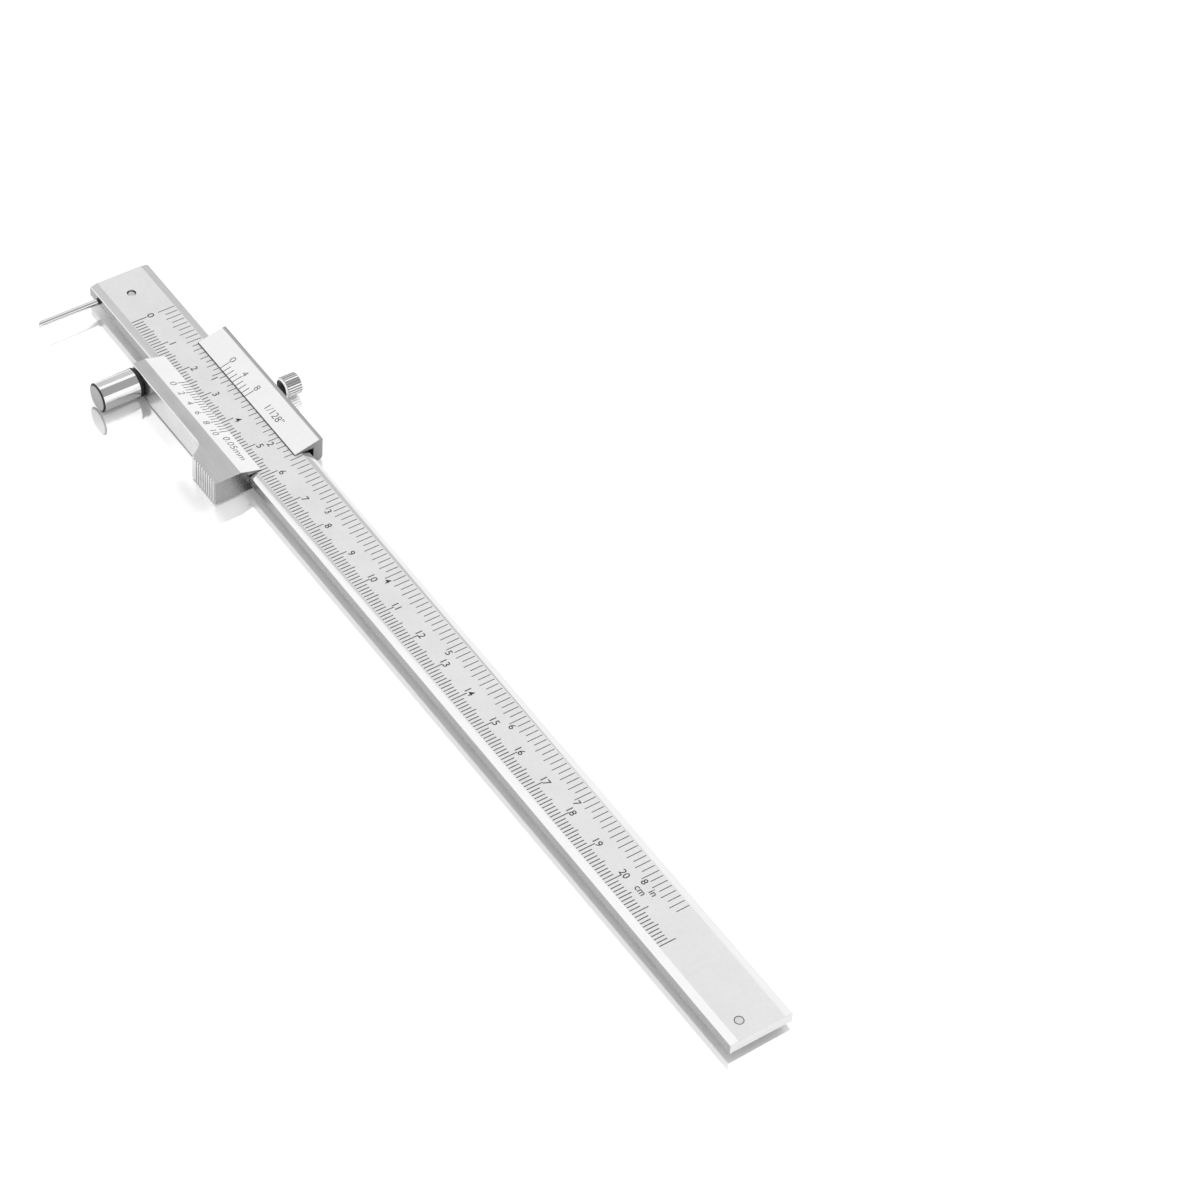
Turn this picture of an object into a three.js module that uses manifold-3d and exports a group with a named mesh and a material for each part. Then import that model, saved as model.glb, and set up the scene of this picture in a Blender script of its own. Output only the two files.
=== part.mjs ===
// A marking gauge with a vernier. A scriber is clamped across the head of a graduated steel beam. A slider
// with two bevelled vernier lips runs on the beam and carries a guide roller on its near arm. The roller
// follows the edge of the work while the scriber draws a line parallel to it, at the distance read off.
//
// X runs along the beam towards its tail, Y across it, and Z up through the graduated face. While the
// pieces are made, X is zero at the scale's zero line, Y on the beam's centre line and Z on its graduated
// face. The near side, with the scriber and the roller, is at negative Y. All sizes are in millimetres.

import * as THREE from 'three';
import Module from 'manifold-3d';
import { mergeVertices } from 'three/addons/utils/BufferGeometryUtils.js';

// Clearances and fineness

const slideClearance = 0.05;
const turnClearance = 0.05;
const bearingGap = 0.05;
const cutOverrun = 1;
const smallFacets = 40;
const fineFacets = 96;
const cornerFacets = 8;

// Setting: the distance from the scriber's point to the roller, as the verniers read it

const reading = 24.25;

// Beam: a flat bar with its long top edges bevelled

const beamLength = 265;
const beamWidth = 16;
const beamThickness = 3;
const beamBevelWidth = 2;
const beamBevelDrop = 0.45;
const scaleZeroInset = 16.4;

// Scriber: a round needle with an oblique point, right through the beam

const scriberDiameter = 1.6;
const scriberReach = 16.8;
const scriberInset = 4.4;
const scriberRearSink = 0.1;
const scriberPointSlant = 1.1;

// Clamp screw: countersunk, from the back, its cone wedged against the side of the scriber

const clampHeadDiameter = 5.2;
const clampHeadSink = 0.5;
const clampShankDiameter = 2.1;
const clampEndSink = 0.35;
const clampOffset = 0.65;
const clampSlotWidth = 0.7;
const clampSlotDepth = 0.5;

// Stop screw: from the back near the tail, its head in the way of the slider's back

const stopHeadDiameter = 3.8;
const stopHeadHeight = 1.6;
const stopShankDiameter = 2.1;
const stopEndSink = 0.03;
const stopScrewInset = 4.3;
const stopScrewOffset = 2.8;
const stopSlotWidth = 0.7;
const stopSlotDepth = 0.7;

// Slider: one milled piece, a channel round the beam with two lips over its graduated face

const sliderLength = 44;
const sliderRise = 1.95;
const backThickness = 1.65;
const armWidth = 5.7;
const farWallThickness = 2.5;
const farCornerRadius = 1;
const farLandWidth = 0.95;
const nearLipReach = 3.1;
const farLipReach = 3.9;
const nearBevelWidth = 5.45;
const lipTipThickness = 0.2;
const reliefDepth = 0.55;
const reliefHeight = 0.5;

// Thumb pad at the tail end of the near arm

const padProjection = 3.5;
const padFilletRadius = 3.3;
const padSlopeDegrees = 55;
const padLandLength = 1.4;
const filletLimitShare = 0.8;
const serrationCount = 9;
const serrationPitch = 1;
const serrationDepth = 0.35;
const serrationCrestShare = 0.2;

// Guide roller: a hardened cylinder with its own journal, in a flanged bronze bush in the arm

const rollerDiameter = 7.4;
const rollerLength = 10;
const rollerEdgeChamfer = 0.35;
const journalDiameter = 2.8;
const journalEndGap = 0.2;
const bushDiameter = 4;
const bushFlangeDiameter = 5;
const bushFlangeThickness = 0.4;
const bushEndWall = 0.75;
const bushFloor = 0.5;
const washerThickness = 0.65;
const washerInset = 0.05;

// Retaining screw: a dog-point screw from the underside, its point in the journal's groove

const retainerDiameter = 2;
const retainerSink = 0.1;
const retainerPointDiameter = 1;
const retainerPointGap = 0.1;
const grooveDepth = 0.5;

// Gib: a bronze strip between the far wall and the beam, set by two dog-point screws

const gibThickness = 0.7;
const gibRunGap = 0.13;
const gibBackGap = 0.42;
const gibEndInset = 2;
const gibScrewSpacing = 26;
const gibScrewDiameter = 2;
const gibScrewSink = 0.1;
const gibPointDiameter = 1;
const gibPointDepth = 0.25;
const gibDimpleFloorGap = 0.1;
const gibDimpleClearance = 0.15;
const gibShoulderGap = 0.1;
const smallSlotWidth = 0.4;
const smallSlotDepth = 0.5;

// Lock screw: a knurled knob whose shank bears on the gib through the far wall

const lockShankDiameter = 2.5;
const lockTipDiameter = 1.6;
const lockTipLength = 0.6;
const lockTipGap = 0.03;
const knobStandOff = 2.2;
const knobDiameter = 5.4;
const knobLength = 4.45;
const knobInnerChamfer = 0.5;
const knobOuterChamfer = 0.3;
const knurlTeeth = 26;
const knurlDepth = 0.22;

// Places that follow from the sizes

const headX = -scaleZeroInset;
const tailX = headX + beamLength;
const farEdgeY = beamWidth / 2;
const nearEdgeY = -farEdgeY;
const backZ = -beamThickness;
const axisZ = backZ / 2;

const scriberRadius = scriberDiameter / 2;
const scriberX = headX + scriberInset;
const scriberTipY = nearEdgeY - scriberReach;
const scriberRearY = farEdgeY - scriberRearSink;

// The wedge's cone stands at 45 degrees, a bearing gap from the scriber's skin.
const clampHeadRadius = clampHeadDiameter / 2;
const clampShankRadius = clampShankDiameter / 2;
const clampHeadZ = backZ + clampHeadSink;
const clampX = scriberX - axisZ + Math.SQRT2 * (scriberRadius + bearingGap) + clampHeadRadius + clampHeadZ;
const clampY = -clampOffset;
const clampConeTopZ = clampHeadZ + clampHeadRadius - clampShankRadius;

const stopX = tailX - stopScrewInset;
const stopY = -stopScrewOffset;

// The reading lies between the scriber's side, where its point is, and the side of the roller.
const rollerRadius = rollerDiameter / 2;
const rollerX = scriberX + scriberRadius + reading + rollerRadius;
const bushRadius = bushDiameter / 2;
const journalRadius = journalDiameter / 2;

const sliderHeadX = rollerX - bushRadius - bushEndWall;
const sliderTailX = sliderHeadX + sliderLength;
const sliderMidX = (sliderHeadX + sliderTailX) / 2;
const channelTopZ = slideClearance;
const channelFloorZ = backZ - slideClearance;
const sliderBottomZ = channelFloorZ - backThickness;
const nearWallY = nearEdgeY - slideClearance;
const reliefY = nearWallY - reliefDepth;
const armFaceY = nearWallY - armWidth;
const padFaceY = armFaceY - padProjection;
const gibFaceY = farEdgeY + gibRunGap;
const gibBackY = gibFaceY + gibThickness;
const farWallY = gibBackY + gibBackGap;
const farFaceY = farWallY + farWallThickness;

const bushFloorY = reliefY - bushFloor;
const bushLength = bushFloorY - armFaceY;
const retainerY = armFaceY + bushLength / 2;
const flangeBackY = armFaceY - bearingGap;
const flangeFaceY = flangeBackY - bushFlangeThickness;
const washerFaceY = flangeFaceY - turnClearance;
const rollerBackY = washerFaceY - washerThickness - turnClearance;
const rollerEndY = rollerBackY - rollerLength;

const knobInnerY = farFaceY + knobStandOff;
const knobOuterY = knobInnerY + knobLength;

// Solids: three.js geometry is closed up and handed to the boolean library, and comes back the same way

const wasm = await Module();
wasm.setup();

function toSolid(geometry) {
  geometry.deleteAttribute('normal');
  geometry.deleteAttribute('uv');
  const merged = mergeVertices(geometry);
  const corners = merged.index.array;
  const kept = [];
  for (let i = 0; i < corners.length; i += 3) {
    const [a, b, c] = corners.slice(i, i + 3);
    if (a !== b && b !== c && c !== a) {
      kept.push(a, b, c);
    }
  }
  return new wasm.Manifold(new wasm.Mesh({
    numProp: 3,
    vertProperties: Float32Array.from(merged.attributes.position.array),
    triVerts: Uint32Array.from(kept),
  }));
}

function toGeometry(solid) {
  const { vertProperties, triVerts } = solid.getMesh();
  const geometry = new THREE.BufferGeometry();
  geometry.setAttribute('position', new THREE.BufferAttribute(vertProperties, 3));
  geometry.setIndex(new THREE.BufferAttribute(triVerts, 1));
  geometry.computeVertexNormals();
  return geometry;
}

// A profile of [radius, height] pairs turned about an axis along Y, at the given X and Z.
function turnedAlongY(profile, x, z, facets) {
  const points = profile.map(([radius, y]) => new THREE.Vector2(radius, y));
  const geometry = new THREE.LatheGeometry(points, facets);
  return toSolid(geometry.translate(x, 0, z));
}

// The same about an axis along Z, at the given X and Y.
function turnedAlongZ(profile, x, y, facets) {
  const points = profile.map(([radius, z]) => new THREE.Vector2(radius, z));
  const geometry = new THREE.LatheGeometry(points, facets).rotateX(Math.PI / 2);
  return toSolid(geometry.translate(x, y, 0));
}

function rodProfile(radius, low, high) {
  return [[0, low], [radius, low], [radius, high], [0, high]];
}

// A section drawn in Y and Z, run along X.
function sectionAlongX(shape, fromX, toX) {
  const geometry = new THREE.ExtrudeGeometry(shape, {
    depth: toX - fromX,
    bevelEnabled: false,
    curveSegments: cornerFacets,
  });
  const turn = new THREE.Matrix4().makeBasis(
    new THREE.Vector3(0, 1, 0),
    new THREE.Vector3(0, 0, 1),
    new THREE.Vector3(1, 0, 0),
  );
  return toSolid(geometry.applyMatrix4(turn).translate(fromX, 0, 0));
}

// An outline drawn in X and Y, run up along Z.
function planAlongZ(shape, fromZ, toZ) {
  const geometry = new THREE.ExtrudeGeometry(shape, {
    depth: toZ - fromZ,
    bevelEnabled: false,
    curveSegments: cornerFacets,
  });
  return toSolid(geometry.translate(0, 0, fromZ));
}

function outline(points) {
  return new THREE.Shape(points.map(([u, v]) => new THREE.Vector2(u, v)));
}

function block(fromX, toX, fromY, toY, fromZ, toZ) {
  return planAlongZ(outline([[fromX, fromY], [toX, fromY], [toX, toY], [fromX, toY]]), fromZ, toZ);
}

// A screwdriver slot in an end that faces down (-Z), cut from the end's face.
function slotFromBelow(x, y, endZ, reach, width, depth) {
  return block(x - reach, x + reach, y - width / 2, y + width / 2, endZ - cutOverrun, endZ + depth);
}

function makeMesh(name, solid, color, roughness, metalness) {
  const material = new THREE.MeshStandardMaterial({ color, roughness, metalness });
  const mesh = new THREE.Mesh(toGeometry(solid), material);
  mesh.name = name;
  return mesh;
}

// Beam

function makeBeam() {
  const bar = sectionAlongX(outline([
    [nearEdgeY, backZ],
    [farEdgeY, backZ],
    [farEdgeY, -beamBevelDrop],
    [farEdgeY - beamBevelWidth, 0],
    [nearEdgeY + beamBevelWidth, 0],
    [nearEdgeY, -beamBevelDrop],
  ]), headX, tailX);
  const scriberBore = turnedAlongY(
    rodProfile(scriberRadius + slideClearance, nearEdgeY - cutOverrun, farEdgeY + cutOverrun),
    scriberX, axisZ, smallFacets,
  );
  const clampHole = turnedAlongZ([
    [0, backZ - cutOverrun],
    [clampHeadRadius + bearingGap, backZ - cutOverrun],
    [clampHeadRadius + bearingGap, clampHeadZ],
    [clampShankRadius + bearingGap, clampConeTopZ],
    [clampShankRadius + bearingGap, cutOverrun],
    [0, cutOverrun],
  ], clampX, clampY, smallFacets);
  const stopHole = turnedAlongZ(
    rodProfile(stopShankDiameter / 2 + bearingGap, backZ - cutOverrun, cutOverrun),
    stopX, stopY, smallFacets,
  );
  return bar.subtract(scriberBore).subtract(clampHole).subtract(stopHole);
}

// Scriber: the point is left on the side that faces the roller, so that it marks the true distance

function makeScriber() {
  const needle = turnedAlongY(
    rodProfile(scriberRadius, scriberTipY, scriberRearY), scriberX, axisZ, smallFacets,
  );
  const slope = scriberPointSlant / scriberDiameter;
  const pastSide = scriberRadius + cutOverrun;
  const waste = planAlongZ(outline([
    [scriberX - pastSide, scriberTipY + scriberPointSlant + slope * cutOverrun],
    [scriberX - pastSide, scriberTipY - pastSide],
    [scriberX + pastSide, scriberTipY - pastSide],
    [scriberX + pastSide, scriberTipY - slope * cutOverrun],
  ]), axisZ - pastSide, axisZ + pastSide);
  return needle.subtract(waste);
}

function makeClampScrew() {
  const screw = turnedAlongZ([
    [0, clampHeadZ],
    [clampHeadRadius, clampHeadZ],
    [clampShankRadius, clampConeTopZ],
    [clampShankRadius, -clampEndSink],
    [0, -clampEndSink],
  ], clampX, clampY, smallFacets);
  return screw.subtract(
    slotFromBelow(clampX, clampY, clampHeadZ, clampHeadDiameter, clampSlotWidth, clampSlotDepth),
  );
}

function makeStopScrew() {
  const headTopZ = backZ - bearingGap;
  const headBottomZ = headTopZ - stopHeadHeight;
  const screw = turnedAlongZ([
    [0, headBottomZ],
    [stopHeadDiameter / 2, headBottomZ],
    [stopHeadDiameter / 2, headTopZ],
    [stopShankDiameter / 2, headTopZ],
    [stopShankDiameter / 2, -stopEndSink],
    [0, -stopEndSink],
  ], stopX, stopY, smallFacets);
  return screw.subtract(
    slotFromBelow(stopX, stopY, headBottomZ, stopHeadDiameter, stopSlotWidth, stopSlotDepth),
  );
}

// Slider: its section across the beam, trimmed to its outline as seen from above, then drilled

function sliderSection() {
  const tipZ = channelTopZ + lipTipThickness;
  const nearTipY = nearEdgeY + nearLipReach;
  const farTipY = farEdgeY - farLipReach;
  const section = new THREE.Shape();
  section.moveTo(padFaceY - cutOverrun, sliderBottomZ);
  section.lineTo(farFaceY - farCornerRadius, sliderBottomZ);
  section.absarc(
    farFaceY - farCornerRadius, sliderBottomZ + farCornerRadius, farCornerRadius, -Math.PI / 2, 0, false,
  );
  section.lineTo(farFaceY, sliderRise);
  section.lineTo(farFaceY - farLandWidth, sliderRise);
  section.lineTo(farTipY, tipZ);
  section.lineTo(farTipY, channelTopZ);
  section.lineTo(farWallY, channelTopZ);
  section.lineTo(farWallY, channelFloorZ);
  section.lineTo(reliefY, channelFloorZ);
  section.lineTo(reliefY, channelFloorZ + reliefHeight);
  section.lineTo(nearWallY, channelFloorZ + reliefHeight);
  section.lineTo(nearWallY, channelTopZ - reliefHeight);
  section.lineTo(reliefY, channelTopZ - reliefHeight);
  section.lineTo(reliefY, channelTopZ);
  section.lineTo(nearTipY, channelTopZ);
  section.lineTo(nearTipY, tipZ);
  section.lineTo(nearTipY - nearBevelWidth, sliderRise);
  section.lineTo(padFaceY - cutOverrun, sliderRise);
  return section;
}

function sliderPlan() {
  const slope = THREE.MathUtils.degToRad(padSlopeDegrees);
  const filletLimit = filletLimitShare * padProjection / (1 - Math.cos(slope));
  const filletRadius = Math.min(padFilletRadius, filletLimit);
  const filletDrop = filletRadius * (1 - Math.cos(slope));
  const slopeRun = (padProjection - filletDrop) / Math.tan(slope);
  const serrationStartX = sliderTailX - serrationCount * serrationPitch;
  const slopeEndX = serrationStartX - padLandLength;
  const filletStartX = slopeEndX - slopeRun - filletRadius * Math.sin(slope);
  const crest = serrationCrestShare * serrationPitch;
  const plan = new THREE.Shape();
  plan.moveTo(sliderHeadX, farFaceY + cutOverrun);
  plan.lineTo(sliderHeadX, armFaceY);
  plan.lineTo(filletStartX, armFaceY);
  plan.absarc(filletStartX, armFaceY - filletRadius, filletRadius, Math.PI / 2, Math.PI / 2 - slope, true);
  plan.lineTo(slopeEndX, padFaceY);
  for (let i = 0; i < serrationCount; i += 1) {
    const startX = serrationStartX + i * serrationPitch;
    plan.lineTo(startX, padFaceY);
    plan.lineTo(startX + (serrationPitch - crest) / 2, padFaceY + serrationDepth);
    plan.lineTo(startX + serrationPitch - crest, padFaceY);
  }
  plan.lineTo(sliderTailX, padFaceY);
  plan.lineTo(sliderTailX, farFaceY + cutOverrun);
  return plan;
}

function gibScrewPlaces() {
  return [sliderMidX - gibScrewSpacing / 2, sliderMidX + gibScrewSpacing / 2];
}

function makeSlider() {
  const channel = sectionAlongX(sliderSection(), sliderHeadX - cutOverrun, sliderTailX + cutOverrun);
  const trim = planAlongZ(sliderPlan(), sliderBottomZ - cutOverrun, sliderRise + cutOverrun);
  const bushBore = turnedAlongY(
    rodProfile(bushRadius + bearingGap, armFaceY - cutOverrun, bushFloorY), rollerX, axisZ, smallFacets,
  );
  const retainerHole = turnedAlongZ(
    rodProfile(retainerDiameter / 2 + bearingGap, sliderBottomZ - cutOverrun, axisZ),
    rollerX, retainerY, smallFacets,
  );
  let slider = channel.intersect(trim).subtract(bushBore).subtract(retainerHole);
  for (const x of gibScrewPlaces()) {
    slider = slider.subtract(turnedAlongY(
      rodProfile(gibScrewDiameter / 2 + bearingGap, farWallY - gibBackGap / 2, farFaceY + cutOverrun),
      x, axisZ, smallFacets,
    ));
  }
  return slider.subtract(turnedAlongY(
    rodProfile(lockShankDiameter / 2 + turnClearance, farWallY - gibBackGap / 2, farFaceY + cutOverrun),
    sliderMidX, axisZ, smallFacets,
  ));
}

// Guide roller, its bush, washer and retaining screw

function makeRoller() {
  const grooveHalf = retainerPointDiameter / 2 + turnClearance;
  return turnedAlongY([
    [0, rollerEndY],
    [rollerRadius - rollerEdgeChamfer, rollerEndY],
    [rollerRadius, rollerEndY + rollerEdgeChamfer],
    [rollerRadius, rollerBackY],
    [journalRadius, rollerBackY],
    [journalRadius, retainerY - grooveHalf],
    [journalRadius - grooveDepth, retainerY - grooveHalf],
    [journalRadius - grooveDepth, retainerY + grooveHalf],
    [journalRadius, retainerY + grooveHalf],
    [journalRadius, bushFloorY - journalEndGap],
    [0, bushFloorY - journalEndGap],
  ], rollerX, axisZ, fineFacets);
}

function makeBush() {
  const boreRadius = journalRadius + turnClearance;
  const sleeve = turnedAlongY([
    [boreRadius, flangeFaceY],
    [bushFlangeDiameter / 2, flangeFaceY],
    [bushFlangeDiameter / 2, flangeBackY],
    [bushRadius, flangeBackY],
    [bushRadius, bushFloorY - bearingGap],
    [boreRadius, bushFloorY - bearingGap],
    [boreRadius, flangeFaceY],
  ], rollerX, axisZ, smallFacets);
  const pointHole = turnedAlongZ(
    rodProfile(retainerPointDiameter / 2 + bearingGap, axisZ - bushDiameter, axisZ),
    rollerX, retainerY, smallFacets,
  );
  return sleeve.subtract(pointHole);
}

function makeWasher() {
  const holeRadius = journalRadius + turnClearance;
  const washerRadius = rollerRadius - washerInset;
  const farSideY = washerFaceY - washerThickness;
  return turnedAlongY([
    [holeRadius, farSideY],
    [washerRadius, farSideY],
    [washerRadius, washerFaceY],
    [holeRadius, washerFaceY],
    [holeRadius, farSideY],
  ], rollerX, axisZ, fineFacets);
}

function makeRetainingScrew() {
  const endZ = sliderBottomZ + retainerSink;
  const shoulderZ = axisZ - bushRadius - retainerPointGap;
  const pointZ = axisZ - journalRadius + grooveDepth - retainerPointGap;
  const screw = turnedAlongZ([
    [0, endZ],
    [retainerDiameter / 2, endZ],
    [retainerDiameter / 2, shoulderZ],
    [retainerPointDiameter / 2, shoulderZ],
    [retainerPointDiameter / 2, pointZ],
    [0, pointZ],
  ], rollerX, retainerY, smallFacets);
  return screw.subtract(
    slotFromBelow(rollerX, retainerY, endZ, retainerDiameter, smallSlotWidth, smallSlotDepth),
  );
}

// Gib and its two screws

function makeGib() {
  const halfHeight = -axisZ - beamBevelDrop;
  let gib = block(
    sliderHeadX + gibEndInset, sliderTailX - gibEndInset,
    gibFaceY, gibBackY,
    axisZ - halfHeight, axisZ + halfHeight,
  );
  for (const x of gibScrewPlaces()) {
    gib = gib.subtract(turnedAlongY(
      rodProfile(
        gibPointDiameter / 2 + gibDimpleClearance,
        gibBackY - gibPointDepth - gibDimpleFloorGap, gibBackY + cutOverrun,
      ),
      x, axisZ, smallFacets,
    ));
  }
  return gib;
}

function makeGibScrew(x) {
  const endY = farFaceY - gibScrewSink;
  const shoulderY = gibBackY + gibShoulderGap;
  const pointY = gibBackY - gibPointDepth;
  const screw = turnedAlongY([
    [0, pointY],
    [gibPointDiameter / 2, pointY],
    [gibPointDiameter / 2, shoulderY],
    [gibScrewDiameter / 2, shoulderY],
    [gibScrewDiameter / 2, endY],
    [0, endY],
  ], x, axisZ, smallFacets);
  return screw.subtract(block(
    x - gibScrewDiameter, x + gibScrewDiameter,
    endY - smallSlotDepth, endY + cutOverrun,
    axisZ - smallSlotWidth / 2, axisZ + smallSlotWidth / 2,
  ));
}

// Lock screw: a toothed outline gives the knurl, and a turned blank gives its chamfers

function makeLockScrew() {
  const shankRadius = lockShankDiameter / 2;
  const knobRadius = knobDiameter / 2;
  const tipY = gibBackY + lockTipGap;
  const teeth = [];
  for (let i = 0; i < knurlTeeth; i += 1) {
    const crestTurn = 2 * Math.PI * i / knurlTeeth;
    const rootTurn = crestTurn + Math.PI / knurlTeeth;
    const rootRadius = knobRadius - knurlDepth;
    teeth.push([knobRadius * Math.cos(crestTurn), knobRadius * Math.sin(crestTurn)]);
    teeth.push([rootRadius * Math.cos(rootTurn), rootRadius * Math.sin(rootTurn)]);
  }
  const geometry = new THREE.ExtrudeGeometry(outline(teeth), { depth: knobLength, bevelEnabled: false });
  const knurl = toSolid(geometry.rotateX(-Math.PI / 2).translate(sliderMidX, knobInnerY, axisZ));
  const blank = turnedAlongY([
    [0, knobInnerY - cutOverrun],
    [knobRadius - knobInnerChamfer - cutOverrun, knobInnerY - cutOverrun],
    [knobRadius + cutOverrun, knobInnerY + knobInnerChamfer + cutOverrun],
    [knobRadius + cutOverrun, knobOuterY - knobOuterChamfer - cutOverrun],
    [knobRadius - knobOuterChamfer - cutOverrun, knobOuterY + cutOverrun],
    [0, knobOuterY + cutOverrun],
  ], sliderMidX, axisZ, fineFacets);
  const shank = turnedAlongY([
    [0, tipY],
    [lockTipDiameter / 2, tipY],
    [lockTipDiameter / 2, tipY + lockTipLength],
    [shankRadius, tipY + lockTipLength],
    [shankRadius, knobInnerY + knobLength / 2],
    [0, knobInnerY + knobLength / 2],
  ], sliderMidX, axisZ, smallFacets);
  return knurl.intersect(blank).add(shank);
}

// Assembly: the origin is moved to the middle of the base of the whole gauge

const gauge = new THREE.Group();
gauge.add(makeMesh('beam', makeBeam(), 0xd9dbdc, 0.42, 1));
gauge.add(makeMesh('scriber', makeScriber(), 0xb9bbbd, 0.2, 1));
gauge.add(makeMesh('scriber_clamp_screw', makeClampScrew(), 0xa5a7a9, 0.35, 1));
gauge.add(makeMesh('beam_stop_screw', makeStopScrew(), 0xa5a7a9, 0.35, 1));

const slider = new THREE.Group();
slider.add(makeMesh('slider', makeSlider(), 0xc9cbcc, 0.38, 1));
slider.add(makeMesh('guide_roller', makeRoller(), 0xdedfe0, 0.12, 1));
slider.add(makeMesh('roller_bush', makeBush(), 0xb08a4c, 0.4, 1));
slider.add(makeMesh('thrust_washer', makeWasher(), 0x121212, 0.6, 0));
slider.add(makeMesh('roller_retaining_screw', makeRetainingScrew(), 0x707274, 0.4, 1));
slider.add(makeMesh('gib_strip', makeGib(), 0xb08a4c, 0.4, 1));
const [frontGibX, rearGibX] = gibScrewPlaces();
slider.add(makeMesh('gib_screw_front', makeGibScrew(frontGibX), 0x707274, 0.4, 1));
slider.add(makeMesh('gib_screw_rear', makeGibScrew(rearGibX), 0x707274, 0.4, 1));
slider.add(makeMesh('lock_screw', makeLockScrew(), 0xcfd1d2, 0.25, 1));
gauge.add(slider);

gauge.position.set(-(headX + tailX) / 2, -(rollerEndY + knobOuterY) / 2, rollerRadius - axisZ);

const part = new THREE.Group();
part.add(gauge);

export default part;
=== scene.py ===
import math

import bmesh
import bpy
from mathutils import Matrix, Quaternion, Vector


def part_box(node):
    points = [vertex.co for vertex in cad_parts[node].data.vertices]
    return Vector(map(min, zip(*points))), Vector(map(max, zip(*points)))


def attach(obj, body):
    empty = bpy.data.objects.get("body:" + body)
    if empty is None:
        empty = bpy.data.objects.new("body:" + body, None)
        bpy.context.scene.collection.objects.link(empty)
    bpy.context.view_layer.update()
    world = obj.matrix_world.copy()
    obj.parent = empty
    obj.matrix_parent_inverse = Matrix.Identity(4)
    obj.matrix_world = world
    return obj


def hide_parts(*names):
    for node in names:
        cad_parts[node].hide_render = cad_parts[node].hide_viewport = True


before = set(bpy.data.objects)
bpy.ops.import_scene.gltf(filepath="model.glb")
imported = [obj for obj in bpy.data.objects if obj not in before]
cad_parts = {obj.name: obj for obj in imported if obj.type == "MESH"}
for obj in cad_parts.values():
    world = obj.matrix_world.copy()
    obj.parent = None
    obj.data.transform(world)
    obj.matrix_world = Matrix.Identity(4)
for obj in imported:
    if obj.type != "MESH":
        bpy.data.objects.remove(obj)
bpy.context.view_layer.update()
MM = 0.001

# ---------------------------------------------------------------------------------------------------
# Camera: it looks down on the gauge from beyond the near side of the tail, and is rolled a little,
# so that the beam runs across the picture from the upper left to the lower right.

beam_low, beam_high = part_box("beam")
beam_mid_y = (beam_low.y + beam_high.y) / 2
face_z = beam_high.z

eye = Vector((0.49088, -0.33463, 0.65769))
aim = Vector((0.01608, 0.04258, face_z))
roll = math.radians(5.45)

camera = bpy.data.objects.new("camera", bpy.data.cameras.new("camera"))
camera.location = eye
camera.rotation_mode = "QUATERNION"
camera.rotation_quaternion = (aim - eye).to_track_quat("-Z", "Y") @ Quaternion((0, 0, 1), roll)
camera.data.sensor_width = 36
camera.data.lens = 118.36
bpy.context.scene.collection.objects.link(camera)
bpy.context.scene.camera = camera

# ---------------------------------------------------------------------------------------------------
# Beam: a flat bar of stainless steel. Its graduated face is matt satin, so that the lines can be read
# in any light, and its long bevels, sides and ends are ground along their length.


def add_node(tree, kind, feeds=(), **settings):
    """A node with its settings, each of its inputs linked to a socket or given a plain value."""
    node = tree.nodes.new(kind)
    for setting, value in settings.items():
        setattr(node, setting, value)
    for slot, feed in dict(feeds).items():
        if isinstance(feed, bpy.types.NodeSocket):
            tree.links.new(feed, node.inputs[slot])
        else:
            node.inputs[slot].default_value = feed
    return node


def sum_node(tree, operation, first, second=0.0):
    return add_node(tree, "ShaderNodeMath", {0: first, 1: second}, operation=operation).outputs[0]


def ramp(tree, value, start, end, at_start=0.0, at_end=1.0, curve="LINEAR"):
    """Goes from at_start to at_end as the value goes from start to end, and stays level outside them."""
    return add_node(tree, "ShaderNodeMapRange", {
        "Value": value, "From Min": start, "From Max": end, "To Min": at_start, "To Max": at_end,
    }, interpolation_type=curve).outputs["Result"]


def metal(name, colour, metallic, roughness, grain, shade, wear, relief=0.15):
    """A worked steel: fine lines as the grain stretches them, and broad soft patches of wear."""
    finish = bpy.data.materials.new(name)
    finish.use_nodes = True
    tree = finish.node_tree
    place = add_node(tree, "ShaderNodeTexCoord").outputs["Object"]
    stretched = add_node(tree, "ShaderNodeMapping", {"Vector": place, "Scale": grain}).outputs["Vector"]
    lines = add_node(
        tree, "ShaderNodeTexNoise", {"Vector": stretched, "Scale": 1, "Detail": 3},
    ).outputs["Fac"]
    patches = add_node(
        tree, "ShaderNodeTexNoise", {"Vector": place, "Scale": 140, "Detail": 4},
    ).outputs["Fac"]
    both = sum_node(tree, "MULTIPLY", sum_node(tree, "ADD", lines, patches), 0.5)

    dull, bright = 0.35, 0.65
    tint = add_node(tree, "ShaderNodeValToRGB", {"Fac": both})
    for end, position, share in ((0, dull, 1 - shade), (1, bright, 1 + shade)):
        tint.color_ramp.elements[end].position = position
        tint.color_ramp.elements[end].color = [min(c * share, 1) for c in colour] + [1]
    gloss = ramp(tree, both, dull, bright, max(roughness - wear, 0.02), roughness + wear)
    scratches = add_node(
        tree, "ShaderNodeBump", {"Strength": relief, "Distance": 0.02 * MM, "Height": lines},
    )

    shader = tree.nodes["Principled BSDF"]
    shader.inputs["Metallic"].default_value = metallic
    tree.links.new(tint.outputs["Color"], shader.inputs["Base Color"])
    tree.links.new(gloss, shader.inputs["Roughness"])
    tree.links.new(scratches.outputs["Normal"], shader.inputs["Normal"])
    return finish


def keep(piece, body, slot, *nodes):
    """The finished piece rides on its body and stands for its CAD nodes, which it hides. slot is not used.
    """
    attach(piece, body)
    if nodes:
        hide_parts(*nodes)


def place_in_scene(name, mesh):
    piece = bpy.data.objects.new(name, mesh)
    bpy.context.scene.collection.objects.link(piece)
    return piece


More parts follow.
